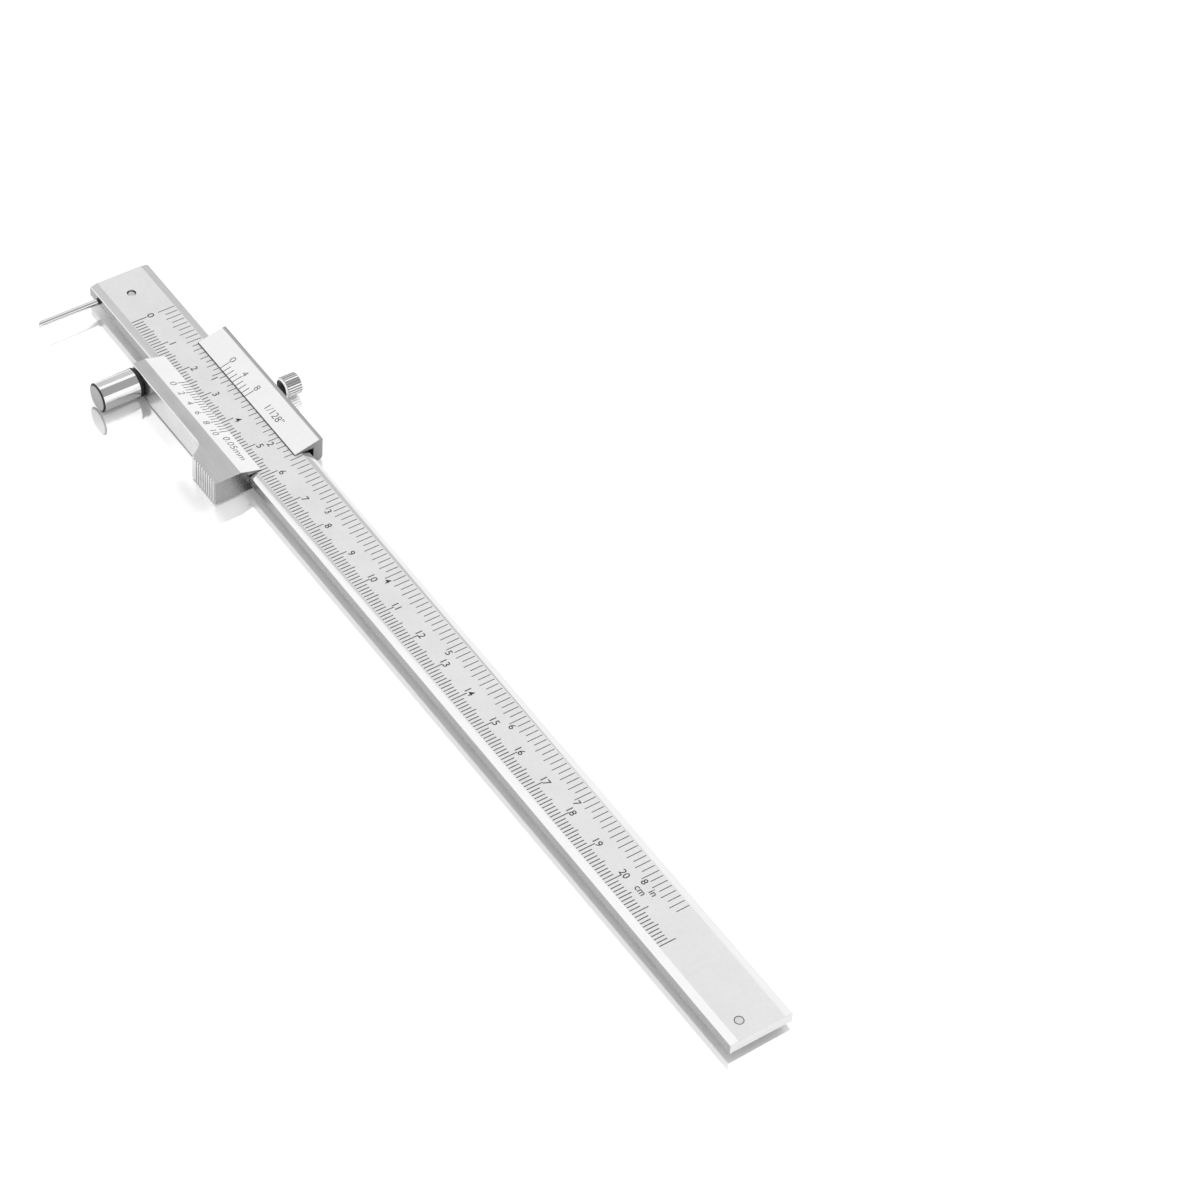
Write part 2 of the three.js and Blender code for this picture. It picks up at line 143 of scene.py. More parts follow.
def made_plain(piece):
    """The piece's modifiers are worked into its mesh and taken off."""
    seen = piece.evaluated_get(bpy.context.evaluated_depsgraph_get())
    mesh = bpy.data.meshes.new_from_object(seen)
    piece.modifiers.clear()
    piece.data = mesh
    mesh.name = piece.name
    return piece


def eased_copy(node, name, finishes, finish_of, ease_of, parted_at=None):
    """A node's own shape. finish_of gives each face its finish, and ease_of each sharp edge its rounding.
    Its edges are parted at one place along the beam where the rounding is to change."""
    shape = bmesh.new()
    shape.from_mesh(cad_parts[node].data)
    bmesh.ops.remove_doubles(shape, verts=shape.verts, dist=1e-7)
    bmesh.ops.dissolve_limit(shape, angle_limit=math.radians(0.5), verts=shape.verts, edges=shape.edges)
    if parted_at is not None:
        bmesh.ops.bisect_plane(
            shape, geom=shape.verts[:] + shape.edges[:] + shape.faces[:],
            plane_co=(parted_at, 0, 0), plane_no=(1, 0, 0),
        )
    for face in shape.faces:
        face.material_index = finish_of(face)
        face.smooth = True
    weight = shape.edges.layers.float.new("bevel_weight_edge")
    sharp = [edge for edge in shape.edges if edge.calc_face_angle(0) > math.radians(25)]
    widest = max(ease_of(edge) for edge in sharp)
    for edge in sharp:
        edge[weight] = ease_of(edge) / widest
    mesh = bpy.data.meshes.new(name)
    shape.to_mesh(mesh)
    shape.free()
    for finish in finishes:
        mesh.materials.append(finish)
    piece = place_in_scene(name, mesh)
    ease = piece.modifiers.new("eased edges", "BEVEL")
    ease.width = widest
    ease.segments = 3
    ease.limit_method = "WEIGHT"
    ease.miter_outer = "MITER_ARC"
    ease.use_clamp_overlap = False
    level = piece.modifiers.new("flat faces stay flat", "WEIGHTED_NORMAL")
    level.keep_sharp = True
    return made_plain(piece)


ground_along = (60, 2600, 2600)
satin_face = metal(
    "satin chrome on the graduated face", (0.84, 0.84, 0.84), 0.55, 0.46,
    (900, 1100, 900), 0.03, 0.05, 0.25,
)
ground_bevel = metal(
    "ground bevels and ends of the beam", (0.94, 0.94, 0.94), 0.97, 0.08, ground_along, 0.02, 0.02, 0.08,
)
# The far bevel is a slightly darker copy of the ground bevels: painted shade.
far_bevel_shaded = metal(
    "ground far bevel of the beam", (0.9, 0.9, 0.9), 0.97, 0.08, ground_along, 0.02, 0.02, 0.08,
)
# The sides and the back are a much darker copy of the ground bevels: painted shade.
ground_side_shaded = metal(
    "ground sides and back of the beam", (0.5, 0.5, 0.5), 0.9, 0.26, ground_along, 0.06, 0.06, 0.2,
)


def beam_finish(face):
    """The graduated face is 0, the near bevel and the ends 1, the sides and the back 2, the far bevel 3.
    The sides, the back and the far bevel are darker copies of the bevels' steel, as painted shade.
    """
    if face.normal.z > 0.99:
        return 0
    if face.normal.z > 0.5:
        return 1 if face.normal.y < 0 else 3
    return 1 if abs(face.normal.x) > 0.9 else 2


past_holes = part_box("scriber_clamp_screw")[1].x + 0.5 * MM
burr_ease = 0.06 * MM
far_edge_ease = 0.1 * MM
near_edge_ease_at_head = 0.12 * MM
near_edge_ease = 0.42 * MM


def beam_ease(edge):
    """The long edge between the near bevel and the near side is rounded for the hand. At the head it is
    rounded less, and the far one is too, because the scriber's hole comes close to both."""
    first, second = (v.co for v in edge.verts)
    beside = min(abs(first.y - beam_mid_y), abs(second.y - beam_mid_y)) > 7.9 * MM
    lengthwise = abs(first.x - second.x) > 5 * MM
    if not (beside and lengthwise and min(first.z, second.z) > beam_low.z + 1 * MM):
        return burr_ease
    if first.y > beam_mid_y:
        return far_edge_ease
    return near_edge_ease_at_head if min(first.x, second.x) < past_holes - 0.1 * MM else near_edge_ease


beam = eased_copy(
    "beam", "beam_steel", [satin_face, ground_bevel, ground_side_shaded, far_bevel_shaded],
    beam_finish, beam_ease, past_holes,
)
# The rounding between the bevels and the sides is finished as the sides are, in their painted shade.
for face in beam.data.polygons:
    if abs(face.center.y - beam_mid_y) > 7.5 * MM and 0.02 < face.normal.z < 0.8:
        face.material_index = 2
keep(beam, "beam", "satin_beam_steel", "beam")

# ---------------------------------------------------------------------------------------------------
# Graduations of the beam: millimetres to 220 along the near edge and sixteenths of an inch to 8 1/2
# along the far edge, engraved and filled with dark ink. Both scales start at one zero line.

marks_ink = metal("dark ink in the engraving", (0.02, 0.02, 0.02), 0.0, 0.55, (1500, 1500, 1500), 0.35, 0.1)
ink_thickness = 0.016 * MM


def new_tree(name, **inputs):
    """A tree with an input for each name, and one mesh as its output."""
    tree = bpy.data.node_groups.new(name, "GeometryNodeTree")
    for label, kind in inputs.items():
        tree.interface.new_socket(
            name=label.replace("_", " "), in_out="INPUT", socket_type="NodeSocket" + kind,
        )
    tree.interface.new_socket(name="Mesh", in_out="OUTPUT", socket_type="NodeSocketGeometry")
    return tree, add_node(tree, "NodeGroupInput").outputs


def finish_tree(tree, shape, material):
    real = add_node(tree, "GeometryNodeRealizeInstances", {"Geometry": shape})
    painted = add_node(tree, "GeometryNodeSetMaterial", {"Geometry": real.outputs[0], "Material": material})
    add_node(tree, "NodeGroupOutput", {"Mesh": painted.outputs[0]})


def grown(tree, name, mesh=None, **values):
    """The plain piece that a tree makes from these values, and from a mesh where it starts from one."""
    piece = place_in_scene(name, mesh or bpy.data.meshes.new(name))
    growth = piece.modifiers.new(name, "NODES")
    growth.node_group = tree
    for socket in tree.interface.items_tree:
        label = socket.name.replace(" ", "_")
        if socket.in_out == "INPUT" and label in values:
            growth[socket.identifier] = values[label]
    made_plain(piece)
    piece.data.materials.pop(index=0)
    for face in piece.data.polygons:
        face.material_index = 0
    return piece


rule_lines, given = new_tree(
    "Rule lines", Count="Int", Pitch="Float", Start="Vector", Turn="Vector",
    Width="Float", Thickness="Float", Short="Float", Middle="Float", Long="Float",
    Middle_every="Int", Long_every="Int", Ink="Material",
)
step = add_node(rule_lines, "ShaderNodeCombineXYZ", {"X": given["Pitch"]})
row = add_node(
    rule_lines, "GeometryNodeMeshLine",
    {"Count": given["Count"], "Start Location": given["Start"], "Offset": step.outputs[0]}, mode="OFFSET",
)
number = add_node(rule_lines, "GeometryNodeInputIndex").outputs[0]
length = given["Short"]
for every, longer, shorter in (("Middle every", "Middle", "Short"), ("Long every", "Long", "Middle")):
    rest = sum_node(rule_lines, "MODULO", number, given[every])
    picked = sum_node(rule_lines, "LESS_THAN", rest, 0.5)
    extra = sum_node(rule_lines, "SUBTRACT", given[longer], given[shorter])
    length = sum_node(rule_lines, "ADD", length, sum_node(rule_lines, "MULTIPLY", picked, extra))
size = add_node(
    rule_lines, "ShaderNodeCombineXYZ", {"X": given["Width"], "Y": 1.0, "Z": given["Thickness"]},
)
bar = add_node(rule_lines, "GeometryNodeMeshCube", {"Size": size.outputs[0]})
from_end = add_node(
    rule_lines, "GeometryNodeTransform", {"Geometry": bar.outputs[0], "Translation": (0, 0.5, 0)},
)
lines = add_node(rule_lines, "GeometryNodeInstanceOnPoints", {
    "Points": row.outputs[0],
    "Instance": from_end.outputs[0],
    "Rotation": add_node(rule_lines, "FunctionNodeEulerToRotation", {0: given["Turn"]}).outputs[0],
    "Scale": add_node(rule_lines, "ShaderNodeCombineXYZ", {"X": 1.0, "Y": length, "Z": 1.0}).outputs[0],
})
finish_tree(rule_lines, lines.outputs[0], given["Ink"])

zero_x = beam_low.x + 16.4 * MM
line_width = 0.23 * MM
fine_line_width = 0.19 * MM
millimetre_lines = grown(
    rule_lines, "millimetre_lines", Count=221, Pitch=1 * MM,
    Start=(zero_x, beam_mid_y - 5.9 * MM, face_z), Turn=(0, 0, 0),
    Width=line_width, Thickness=ink_thickness, Short=2.75 * MM, Middle=3.3 * MM, Long=4.2 * MM,
    Middle_every=5, Long_every=10, Ink=marks_ink,
)
sixteenth_inch = 1.5875 * MM
inch_lines = grown(
    rule_lines, "inch_lines", Count=136, Pitch=sixteenth_inch,
    Start=(zero_x, beam_mid_y + 5.8 * MM, face_z), Turn=(0, 0, math.pi),
    Width=fine_line_width, Thickness=ink_thickness, Short=3.3 * MM, Middle=4.0 * MM, Long=4.5 * MM,
    Middle_every=2, Long_every=16, Ink=marks_ink,
)


lone_zero_width = 1.15


def lettering(name, words, ink, boldness):
    """Engraved words as one mesh. Each word is (text, height, place), its middle at the place's origin."""
    whole = bmesh.new()
    for text, height, place in words:
        curve = bpy.data.curves.new(name, "FONT")
        curve.body = text
        curve.resolution_u = 3
        curve.extrude = 0.5
        curve.offset = boldness
        sample = place_in_scene(name, curve)
        seen = sample.evaluated_get(bpy.context.evaluated_depsgraph_get())
        mesh = bpy.data.meshes.new_from_object(seen)
        bpy.data.objects.remove(sample)
        points = [v.co for v in mesh.vertices]
        middle_x = (min(p.x for p in points) + max(p.x for p in points)) / 2
        scale = height / figure_height
        wide = lone_zero_width if text == "0" else 1
        sized = Matrix.Diagonal((scale * wide, scale, ink_thickness, 1))
        centred = Matrix.Translation((-middle_x, -figure_height / 2, 0))
        mesh.transform(place @ sized @ centred)
        whole.from_mesh(mesh)
    bmesh.ops.remove_doubles(whole, verts=whole.verts, dist=1e-7)
    bmesh.ops.recalc_face_normals(whole, faces=whole.faces)
    mesh = bpy.data.meshes.new(name)
    whole.to_mesh(mesh)
    whole.free()
    mesh.materials.append(ink)
    return place_in_scene(name, mesh)


# The height of a figure in the lettering's own units is that of a plain zero.
gauge_curve = bpy.data.curves.new("height of a zero", "FONT")
gauge_curve.body = "0"
gauge_zero = place_in_scene("height of a zero", gauge_curve)
bpy.context.view_layer.update()
figure_height = gauge_zero.dimensions.y
bpy.data.objects.remove(gauge_zero)

figure_size = 1.75 * MM
small_figure_size = 1.7 * MM
face_words = [("0", figure_size, Matrix.Translation((zero_x, beam_mid_y - 0.62 * MM, face_z)))]
for centimetre in range(1, 21):
    beside = 1.03 * MM if centimetre < 10 else 0.17 * MM
    spot = (zero_x + centimetre * 10 * MM + beside, beam_mid_y - 0.98 * MM, face_z)
    face_words.append((str(centimetre), figure_size, Matrix.Translation(spot)))
for inch in range(1, 9):
    spot = (zero_x + (inch * 25.4 + 0.99) * MM, beam_mid_y + 1.4 * MM, face_z)
    face_words.append((str(inch), small_figure_size, Matrix.Translation(spot)))
for unit, from_zero, off_middle in (("cm", 205.6, -0.65), ("in", 207.65, 1.27)):
    spot = (zero_x + from_zero * MM, beam_mid_y + off_middle * MM, face_z)
    face_words.append((unit, small_figure_size, Matrix.Translation(spot)))
beam_figures = lettering("beam_figures", face_words, marks_ink, 0.006)

for marks in (millimetre_lines, inch_lines, beam_figures):
    keep(marks, "beam", "satin_beam_steel")

# ---------------------------------------------------------------------------------------------------
# Clamp screw and stop screw of the beam: turned from steel rod. Both are put in from the back, and the
# end of each shows in its small hole in the graduated face.

turned_piece, given = new_tree(
    "Turned piece", Profile="Geometry", Facets="Int",
    Thread_from="Float", Thread_to="Float", Pitch="Float", Depth="Float",
    Teeth="Int", Teeth_from="Float", Teeth_radius="Float", Teeth_depth="Float", Steel="Material",
)


def turned_sum(operation, first, second=0.0):
    return sum_node(turned_piece, operation, first, second)


corners = add_node(
    turned_piece, "GeometryNodeAttributeDomainSize", {0: given["Profile"]},
).outputs["Point Count"]
round_count = turned_sum("ADD", given["Facets"], 1.0)
net = add_node(turned_piece, "GeometryNodeMeshGrid", {"Vertices X": round_count, "Vertices Y": corners})
number = add_node(turned_piece, "GeometryNodeInputIndex").outputs[0]
place_number = turned_sum("MODULO", number, corners)
column = turned_sum("FLOOR", turned_sum(
    "DIVIDE", turned_sum("ADD", number, 0.5), corners,
))
turn_share = turned_sum("DIVIDE", column, given["Facets"])
angle = turned_sum("MULTIPLY", turn_share, 2 * math.pi)
profile_point = add_node(turned_piece, "GeometryNodeSampleIndex", data_type="FLOAT_VECTOR", domain="POINT")
turned_piece.links.new(given["Profile"], profile_point.inputs["Geometry"])
turned_piece.links.new(
    add_node(turned_piece, "GeometryNodeInputPosition").outputs[0], profile_point.inputs["Value"],
)
turned_piece.links.new(place_number, profile_point.inputs["Index"])
parts = add_node(turned_piece, "ShaderNodeSeparateXYZ", {0: profile_point.outputs["Value"]}).outputs
radius, along = parts["X"], parts["Y"]

# The thread is a wave that runs round the axis once a pitch, and runs out over one pitch at its ends.
wave_place = turned_sum("ADD", turned_sum("DIVIDE", along, given["Pitch"]), turn_share)
wave = turned_sum("MULTIPLY", turned_sum("PINGPONG", wave_place, 0.5), 2.0)
to_ends = turned_sum(
    "MINIMUM",
    turned_sum("SUBTRACT", along, given["Thread from"]),
    turned_sum("SUBTRACT", given["Thread to"], along),
)
run_out = turned_sum("DIVIDE", to_ends, given["Pitch"])
run_out = turned_sum("MAXIMUM", turned_sum("MINIMUM", run_out, 1.0), 0.0)
cut = turned_sum("MULTIPLY", turned_sum("MULTIPLY", wave, run_out), given["Depth"])
radius = turned_sum("SUBTRACT", radius, cut)

# The knurl is a ring of straight teeth that limits the radius past its start.
tooth_place = turned_sum("MULTIPLY", turn_share, given["Teeth"])
tooth = turned_sum("MULTIPLY", turned_sum("PINGPONG", tooth_place, 0.5), 2.0)
tooth = turned_sum("SUBTRACT", turned_sum("MULTIPLY", tooth, 2.0), 1.0)
tooth = turned_sum("MAXIMUM", tooth, 0.0)
tooth_cut = turned_sum("MULTIPLY", tooth, given["Teeth depth"])
limit = turned_sum("SUBTRACT", given["Teeth radius"], tooth_cut)
before_teeth = turned_sum("LESS_THAN", along, given["Teeth from"])
limit = turned_sum("ADD", limit, before_teeth)
radius = turned_sum("MINIMUM", radius, limit)

round_the_axis = add_node(turned_piece, "ShaderNodeCombineXYZ", {
    "X": turned_sum("MULTIPLY", radius, turned_sum("COSINE", angle)),
    "Y": turned_sum("MULTIPLY", radius, turned_sum("SINE", angle)),
    "Z": along,
})
bent = add_node(turned_piece, "GeometryNodeSetPosition", {
    "Geometry": net.outputs[0], "Position": round_the_axis.outputs[0],
})
joined = add_node(turned_piece, "GeometryNodeMergeByDistance", {
    "Geometry": bent.outputs[0], "Distance": 0.002 * MM,
})
finish_tree(turned_piece, joined.outputs[0], given["Steel"])


support = 0.04 * MM


def turned(name, profile, axis_place, steel, facets=48, thread=None, teeth=None):
    """A closed piece turned from (radius, place on the axis) pairs, then moved to its axis. Long runs get
    a support ring at each end. thread is (from, to, pitch, depth), teeth (count, from, radius, depth)."""
    low, high, pitch, depth = thread or (0, 0, 1, 0)
    dense = [profile[0]]
    for (r0, s0), (r1, s1) in zip(profile, profile[1:]):
        length = math.hypot(r1 - r0, s1 - s0)
        threaded = thread and min(s0, s1) < high and max(s0, s1) > low and abs(s1 - s0) > pitch
        if threaded:
            steps = round(8 * abs(s1 - s0) / pitch)
            shares = [i / steps for i in range(1, steps + 1)]
        elif length > 0.4 * MM:
            shares = [support / length, 1 - support / length, 1]
        else:
            shares = [1]
        dense += [(r0 + (r1 - r0) * share, s0 + (s1 - s0) * share) for share in shares]
    path = bpy.data.meshes.new(name)
    path.from_pydata([(r, s, 0) for r, s in dense], [(i, i + 1) for i in range(len(dense) - 1)], [])
    count, start, tooth_radius, tooth_depth = teeth or (1, 1, 1, 0)
    piece = grown(
        turned_piece, name, path, Facets=facets, Thread_from=low, Thread_to=high, Pitch=pitch, Depth=depth,
        Teeth=count, Teeth_from=start, Teeth_radius=tooth_radius, Teeth_depth=tooth_depth, Steel=steel,
    )
    piece.data.transform(axis_place)
    tidy_shape(piece)
    return piece


def tidy_shape(piece, sharp=28):
    """Faces point outwards, and shading is smooth except over edges sharper than this many degrees."""
    shape = bmesh.new()
    shape.from_mesh(piece.data)
    bmesh.ops.recalc_face_normals(shape, faces=shape.faces)
    for face in shape.faces:
        face.smooth = True
    for edge in shape.edges:
        edge.smooth = edge.is_manifold and edge.calc_face_angle(0) < math.radians(sharp)
    shape.to_mesh(piece.data)
    shape.free()


def slotted(piece, low, high):
    """A straight slot cut for the screwdriver, as a box between two corners."""
    cutter = bmesh.new()
    bmesh.ops.create_cube(cutter, size=1)
    mesh = bpy.data.meshes.new("cutter")
    cutter.to_mesh(mesh)
    cutter.free()
    low, high = Vector(low), Vector(high)
    mesh.transform(Matrix.Translation((low + high) / 2) @ Matrix.Diagonal((*(high - low), 1)))
    blade = place_in_scene("cutter", mesh)
    cut = piece.modifiers.new("slot", "BOOLEAN")
    cut.operation = "DIFFERENCE"
    cut.solver = "EXACT"
    cut.object = blade
    made_plain(piece)
    bpy.data.objects.remove(blade)
    tidy_shape(piece)


turned_steel = metal(
    "turned steel of the small screws", (0.46, 0.46, 0.46), 0.95, 0.33, (2200, 2200, 2200), 0.1, 0.08, 0.3,
)
# Near black: painted shade in holes, gaps, chamfers and the channel, where shade falls.
painted_shade = metal("painted shade in recesses", (0.03, 0.03, 0.03), 0.2, 0.5, (1500, 1500, 1500), 0.2, 0.1, 0.2)
# A brighter copy of the screw steel: a painted highlight on a screw's end.
bright_tip = metal("painted highlight on a screw end", (0.8, 0.8, 0.8), 0.9, 0.3, (2200, 2200, 2200), 0.05, 0.05, 0.2)
fine_chamfer = 0.12 * MM


def finish_faces(piece, finish, chosen):
    """A second finish on the faces that chosen picks by their place and normal."""
    piece.data.materials.append(finish)
    for face in piece.data.polygons:
        if chosen(face.center, face.normal):
            face.material_index = len(piece.data.materials) - 1


def show_end(screw, end_z):
    """The screw's faced end is painted bright in its hole as a highlight, and its chamfer dark as shade."""
    finish_faces(screw, painted_shade, lambda spot, normal: spot.z > end_z - 0.3 * MM and normal.z < 0.9)
    finish_faces(screw, bright_tip, lambda spot, normal: spot.z > end_z - 0.3 * MM and normal.z > 0.9)


low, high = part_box("scriber_clamp_screw")
clamp_x, clamp_y = (low.x + high.x) / 2, (low.y + high.y) / 2
clamp_head_radius = (high.x - low.x) / 2
screw_shank_radius = 1.05 * MM
clamp_cone_top = low.z + clamp_head_radius - screw_shank_radius
clamp_screw = turned(
    "scriber_clamp_screw_turned",
    [
        (0, low.z),
        (clamp_head_radius - fine_chamfer, low.z),
        (clamp_head_radius, low.z + fine_chamfer / 2),
        (clamp_head_radius - fine_chamfer / 2, low.z + fine_chamfer),
        (screw_shank_radius, clamp_cone_top),
        (screw_shank_radius, high.z - 2 * fine_chamfer),
        (screw_shank_radius - 2 * fine_chamfer, high.z),
        (0, high.z),
    ],
    Matrix.Translation((clamp_x, clamp_y, 0)), turned_steel,
)
slotted(
    clamp_screw,
    (clamp_x - 3 * MM, clamp_y - 0.35 * MM, low.z - 1 * MM),
    (clamp_x + 3 * MM, clamp_y + 0.35 * MM, low.z + 0.5 * MM),
)
show_end(clamp_screw, high.z)
keep(clamp_screw, "beam", "screw_steel", "scriber_clamp_screw")

low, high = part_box("beam_stop_screw")
stop_x, stop_y = (low.x + high.x) / 2, (low.y + high.y) / 2
stop_head_radius = (high.x - low.x) / 2
stop_head_top = low.z + 1.6 * MM
stop_screw = turned(
    "beam_stop_screw_turned",
    [
        (0, low.z),
        (stop_head_radius - 2 * fine_chamfer, low.z),
        (stop_head_radius - fine_chamfer / 2, low.z + fine_chamfer / 2),
        (stop_head_radius, low.z + 2 * fine_chamfer),
        (stop_head_radius, stop_head_top - fine_chamfer),
        (stop_head_radius - fine_chamfer, stop_head_top),
        (screw_shank_radius, stop_head_top),
        (screw_shank_radius, high.z - fine_chamfer),
        (screw_shank_radius - fine_chamfer, high.z),
        (0, high.z),
    ],
    Matrix.Translation((stop_x, stop_y, 0)), turned_steel,
    thread=(stop_head_top + 0.1 * MM, high.z - 0.3 * MM, 0.45 * MM, 0.1 * MM),
)
slotted(
    stop_screw,
    (stop_x - 3 * MM, stop_y - 0.35 * MM, low.z - 1 * MM),
    (stop_x + 3 * MM, stop_y + 0.35 * MM, low.z + 0.7 * MM),
)
show_end(stop_screw, high.z)
keep(stop_screw, "beam", "screw_steel", "beam_stop_screw")

# ---------------------------------------------------------------------------------------------------
# Scriber: a hardened steel needle, ground and polished round, with an oblique point left on the side
# that faces the roller. It goes right through the head of the beam, and is painted dark as shade where
# it does, from a little before the beam's near side.

needle_steel = metal(
    "hardened and polished needle", (0.98, 0.98, 0.98), 1.0, 0.03, (400, 5200, 400), 0.02, 0.01, 0.0,
)
low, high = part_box("scriber")
scriber_x, scriber_z = (low.x + high.x) / 2, (low.z + high.z) / 2
scriber_radius = (high.x - low.x) / 2
point_slant = 1.1 * MM
root_y = beam_low.y - 0.7 * MM
inner_end_y = high.y - 0.2 * MM
along_y = Matrix.Rotation(-math.pi / 2, 4, "X")
scriber = turned(
    "scriber_needle",
    [
        (0, low.y - 1 * MM),
        (scriber_radius, low.y - 1 * MM),
        (scriber_radius, root_y),
        (scriber_radius, inner_end_y),
        (scriber_radius - 0.06 * MM, high.y - 0.06 * MM),
        (scriber_radius - 0.2 * MM, high.y),
        (0, high.y),
    ],
    Matrix.Translation((scriber_x, 0, scriber_z)) @ along_y, needle_steel, facets=64,
)
stone = bmesh.new()
stone.from_mesh(scriber.data)
slant = Vector((-point_slant, -2 * scriber_radius, 0)).normalized()
ground = bmesh.ops.bisect_plane(
    stone, geom=stone.verts[:] + stone.edges[:] + stone.faces[:], plane_co=(high.x, low.y, scriber_z),
    plane_no=slant, clear_outer=True,
)
bmesh.ops.holes_fill(stone, edges=[e for e in ground["geom_cut"] if isinstance(e, bmesh.types.BMEdge)])
stone.to_mesh(scriber.data)
stone.free()
tidy_shape(scriber)
# Painted shade: the needle is dark from 0.7 mm before the beam's near side to near its inner end.
finish_faces(scriber, painted_shade, lambda spot, normal: root_y < spot.y < inner_end_y)
keep(scriber, "scriber", "needle_steel", "scriber")

# ---------------------------------------------------------------------------------------------------
# Slider: milled from one bar of steel, brushed along its length. Its two vernier bevels are fine satin,
# nearly white, and its ends and the serrated thumb pad show the marks of the cutter.

slider_low, slider_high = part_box("slider")
brushed_flat = metal(
    "brushed flats of the slider", (0.63, 0.63, 0.63), 0.8, 0.34, (70, 3000, 3000), 0.06, 0.06, 0.25,
)
vernier_satin = metal(
    "white satin of the vernier bevels", (0.91, 0.91, 0.91), 0.35, 0.5,
    (1200, 1200, 1200), 0.02, 0.05, 0.12,
)
ground_arm = metal(
    "ground sides of the slider", (0.9, 0.9, 0.9), 0.95, 0.2, (120, 2600, 2600), 0.04, 0.05, 0.12,
)
milled_end = metal(
    "milled ends of the slider", (0.42, 0.42, 0.42), 0.9, 0.27, (2600, 2600, 160), 0.07, 0.06, 0.2,
)
# The land on the far wall is a darker copy of the brushed flats: painted shade.
far_land = metal(
    "brushed land on the far wall", (0.5, 0.5, 0.5), 0.8, 0.34, (70, 3000, 3000), 0.06, 0.06, 0.25,
)


def shaded(finish, share_of):
    """Paints shade on a finish: scales its tone by the share from 0 to 1 that share_of works out from
    the place's x and y.
    """
    tree = finish.node_tree
    shader = tree.nodes["Principled BSDF"]
    tone = shader.inputs["Base Color"].links[0].from_socket
    place = add_node(tree, "ShaderNodeTexCoord").outputs["Object"]
    parts = add_node(tree, "ShaderNodeSeparateXYZ", {0: place}).outputs
    share = share_of(tree, parts["X"], parts["Y"])
    darker = add_node(tree, "ShaderNodeVectorMath", {0: tone, 3: share}, operation="SCALE")
    tree.links.new(darker.outputs[0], shader.inputs["Base Color"])


def darker_by_the_channel(tree, x, y):
    """The milled ends are painted darker towards the channel, as shade."""
    away = sum_node(tree, "ABSOLUTE", sum_node(tree, "SUBTRACT", y, beam_mid_y))
    return ramp(tree, away, 5 * MM, 13 * MM, 0.4, 1.0)


def bright_crests(tree, x, y):
    """The crests of the pad's serrations, a millimetre apart from the tail end on, keep a bright tone as
    painted highlights, and the roots between them are painted darker as shade.
    """
    from_crest = sum_node(tree, "SUBTRACT", slider_high.x - 0.1 * MM, x)
    off = sum_node(tree, "PINGPONG", from_crest, 0.5 * MM)
    return ramp(tree, off, 0.18 * MM, 0.3 * MM, 1.0, 0.42)


# Painted shade: the milled ends darken towards the channel.
shaded(milled_end, darker_by_the_channel)
pad_serrations = metal(
    "serrations of the thumb pad", (0.97, 0.97, 0.97), 0.95, 0.2, (2600, 2600, 160), 0.04, 0.05, 0.12,
)
# Painted light and shade on the serrations: bright crests and darker roots.
shaded(pad_serrations, bright_crests)
pad_start_x = slider_high.x - 9 * MM


def slider_finish(face):
    """The flats are 0, the two vernier bevels 1, the sides 2, the ends 3, the land on the far wall 4, the
    channel and the lips' edges, painted dark as shade, 5, and the serrations of the thumb pad 6."""
    spot = face.calc_center_median()
    if face.normal.z > 0.9 and abs(face.normal.y) > 0.15:
        return 1
    if abs(face.normal.x) > 0.95:
        return 3
    if face.normal.z > 0.9:
        return 4 if spot.y > slider_high.y - 1 * MM else 0
    if slider_low.z + 1 * MM < spot.z < face_z + 0.22 * MM and abs(spot.y - beam_mid_y) < 9.3 * MM:
        return 5
    if abs(face.normal.z) < 0.5 and spot.x > pad_start_x and spot.y < slider_low.y + 0.4 * MM:
        return 6
    return 2 if abs(face.normal.z) < 0.5 else 0


far_tip_y = beam_mid_y + 4.1 * MM


def slider_ease(edge):
    """The near arm's top edge is rounded for the fingers and the far lip's tip a little, the serrations
    stay crisp, and the rest is only freed of its burr."""
    first, second = (v.co for v in edge.verts)
    if min(first.x, second.x) > pad_start_x - 0.2 * MM and abs(first.z - second.z) > 1 * MM:
        return 0.02 * MM
    straight = abs(first.y - second.y) < 0.01 * MM
    if straight and abs(first.y - far_tip_y) < 0.02 * MM and first.z > face_z + 0.2 * MM:
        return 0.14 * MM
    near = max(first.y, second.y) < slider_low.y + 3.7 * MM
    on_top = min(first.z, second.z) > slider_high.z - 0.01 * MM
    smooth_run = max(first.x, second.x) < pad_start_x + 0.1 * MM
    return 0.26 * MM if near and on_top and smooth_run else burr_ease


slider = eased_copy(
    "slider", "slider_steel",
    [brushed_flat, vernier_satin, ground_arm, milled_end, far_land, painted_shade, pad_serrations],
    slider_finish, slider_ease,
)
# The rounding of the near arm is finished as its side is, and the far lip's tip is painted dark as shade.
for face in slider.data.polygons:
    near_top_edge = face.center.y < slider_low.y + 3.9 * MM and face.center.z > slider_high.z - 0.3 * MM
    if near_top_edge and 0.15 < face.normal.z < 0.98:
        face.material_index = 2
    if abs(face.center.y - beam_mid_y - 4.12 * MM) < 0.13 * MM and face.center.z < face_z + 0.3 * MM:
        face.material_index = 5
keep(slider, "slider", "brushed_slider_steel", "slider")

# ---------------------------------------------------------------------------------------------------
# Verniers: two short scales on the bevelled lips. The near one divides 19 mm in 20, to read 0.05 mm,
# and the far one 7/16 inch in 8, to read 1/128 inch. Engraved and filled as the beam is.

vernier_zero = slider_low.x + 10.25 * MM
tip_z = face_z + 0.25 * MM
rise = slider_high.z - tip_z
near_tip_y = beam_mid_y - 4.9 * MM
near_slope = math.atan2(rise, 5.45 * MM)
far_slope = math.atan2(rise, 6.7 * MM)

on_bevel = 0.1 * MM
vernier_inch_step = 25.4 * 7 / 16 / 8

